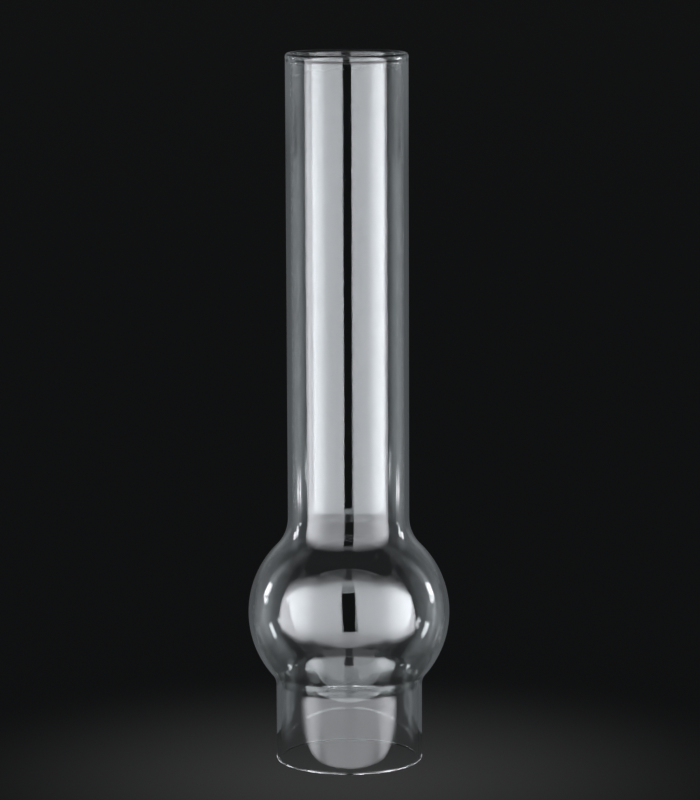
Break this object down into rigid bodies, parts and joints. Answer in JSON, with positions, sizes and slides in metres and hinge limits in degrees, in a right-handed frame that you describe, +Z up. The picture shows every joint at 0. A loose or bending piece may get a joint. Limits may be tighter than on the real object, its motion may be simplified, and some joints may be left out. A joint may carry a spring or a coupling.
{
  "type": "oil lamp chimney",
  "caption": "Clear glass chimney for an oil lamp: a long straight flue with a rounded rim, a ball-shaped bulge low down and a short round fitter open at the base.",
  "frame": {"origin": "centre of the base rim, on the flat land that the glass stands on", "axes": "+Z up along the flue's axis; the glass is turned, so X and Y are free"},
  "size_m": [0.0738, 0.0738, 0.26],
  "materials": {
    "clear_glass": "clear, fire-polished"
  },
  "bodies": {
    "root": {"glass_chimney": "clear_glass"}
  },
  "joints": []
}
